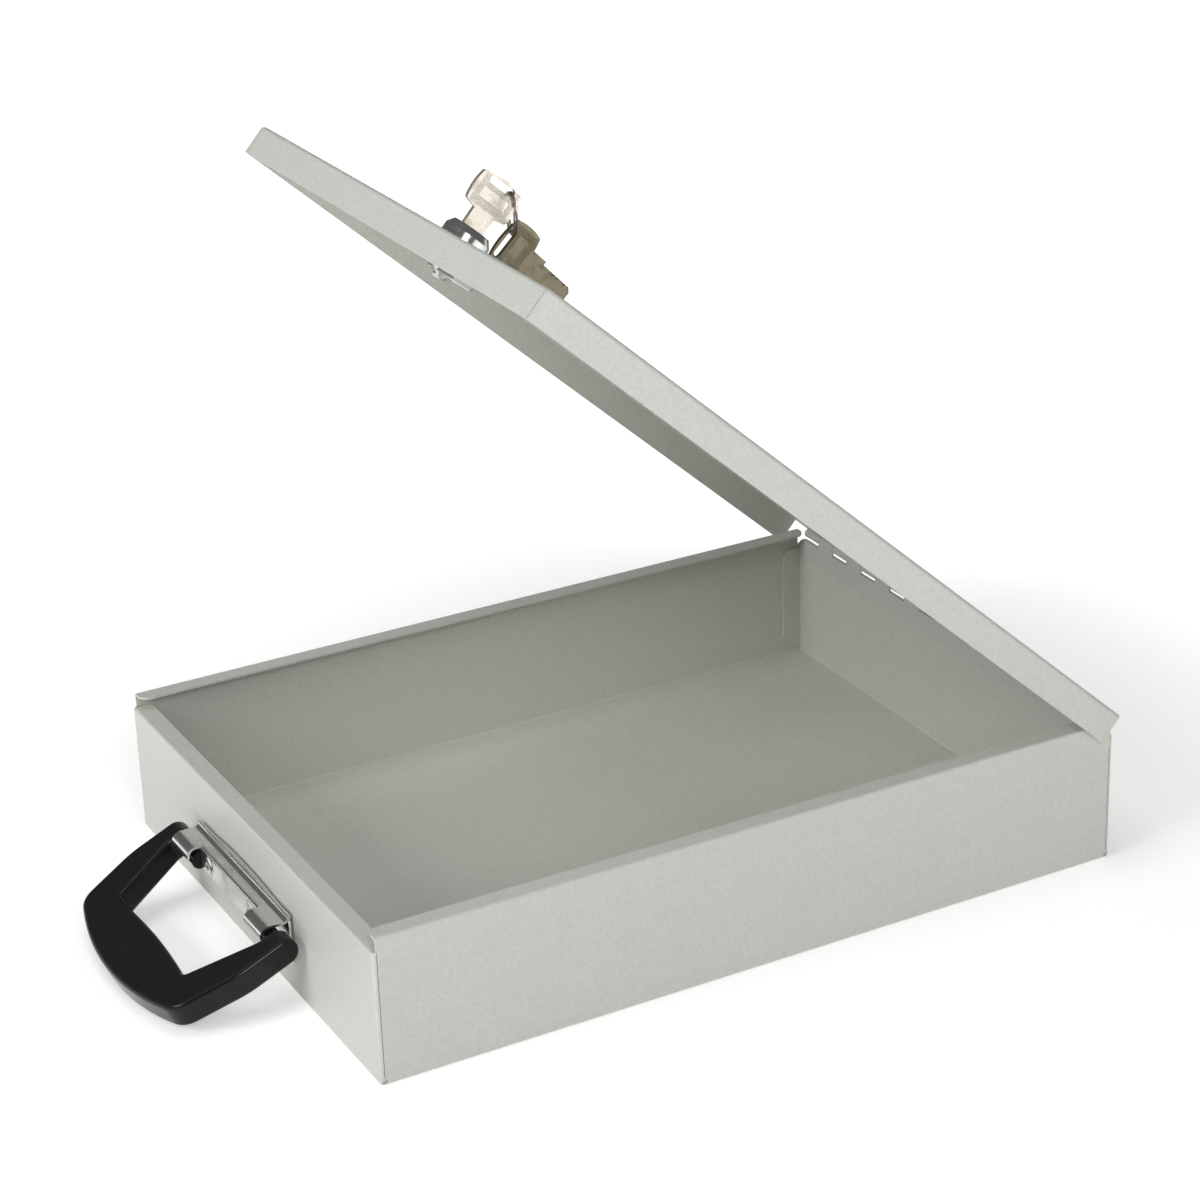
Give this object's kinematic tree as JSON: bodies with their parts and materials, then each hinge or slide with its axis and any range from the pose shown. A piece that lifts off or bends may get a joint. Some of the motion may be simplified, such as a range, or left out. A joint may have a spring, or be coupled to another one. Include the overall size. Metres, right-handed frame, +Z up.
{
  "type": "lockable document box",
  "caption": "Shallow folded-steel box for documents, with a hinged lid, a keyed cam lock in the lid and a folding carrying handle on the front.",
  "frame": {"origin": "middle of the tray floor's underside, on the table", "axes": "+Z up; +Y from the handle wall towards the hinge wall; +X to the right seen from the handle's side"},
  "size_m": [0.265, 0.423, 0.3216],
  "materials": {
    "box_paint": "fine textured powder coat",
    "lid_paint": "fine textured powder coat",
    "hinge_paint": "powder coat over the hinge",
    "hinge_steel": "plain",
    "bracket_zinc": "bright zinc",
    "rivet_steel": "bright zinc",
    "handle_plastic": "fine grain",
    "lock_chrome": "polished",
    "lock_zinc": "zinc plated",
    "plug_chrome": "satin",
    "wafer_brass": "stamped",
    "key_nickel": "nickel over brass",
    "ring_steel": "dull",
    "spare_nickel": "nickel over brass"
  },
  "bodies": {
    "tray": {"tray_body": "box_paint", "hinge_tray_leaf": "hinge_paint", "hinge_pin": "hinge_steel", "handle_bracket": "bracket_zinc", "bracket_rivets": "rivet_steel"},
    "lid": {"lid_shell": "lid_paint", "hinge_lid_leaf": "hinge_paint", "lock_housing": "lock_chrome", "lock_washer": "lock_zinc", "lock_nut": "lock_zinc"},
    "handle": {"handle": "handle_plastic"},
    "plug": {"lock_plug": "plug_chrome", "lock_wafers": "wafer_brass", "lock_cam": "lock_zinc", "cam_washer": "lock_zinc", "cam_screw": "lock_zinc"},
    "key": {"key": "key_nickel"},
    "ring": {"key_ring": "ring_steel"},
    "spare": {"spare_key": "spare_nickel"}
  },
  "joints": [
    {"name": "lid_hinge", "type": "hinge", "parent": "tray", "child": "lid", "pos_m": [0, 0.1778, 0.067], "axis": [-1, 0, 0], "range_deg": [-42.3, 137.7]},
    {"name": "handle_swing", "type": "hinge", "parent": "tray", "child": "handle", "pos_m": [0, -0.1865, 0.0295], "axis": [-1, 0, 0], "range_deg": [-60, 96]},
    {"name": "plug_turn", "type": "hinge", "parent": "lid", "child": "plug", "pos_m": [0, -0.06576, 0.28862], "axis": [0, -0.673, -0.7396], "range_deg": [0, 90]},
    {"name": "key_pull", "type": "slide", "parent": "plug", "child": "key", "axis": [0, 0.673, 0.7396], "range_m": [0, 0.019]},
    {"name": "ring_swing", "type": "hinge", "parent": "key", "child": "ring", "pos_m": [0, -0.0393, 0.30962], "axis": [0.9659, -0.2588, 0], "range_deg": [0, 60]},
    {"name": "spare_swing", "type": "hinge", "parent": "ring", "child": "spare", "pos_m": [0, -0.0393, 0.29282], "axis": [1, 0, 0], "range_deg": [0, 45]}
  ]
}
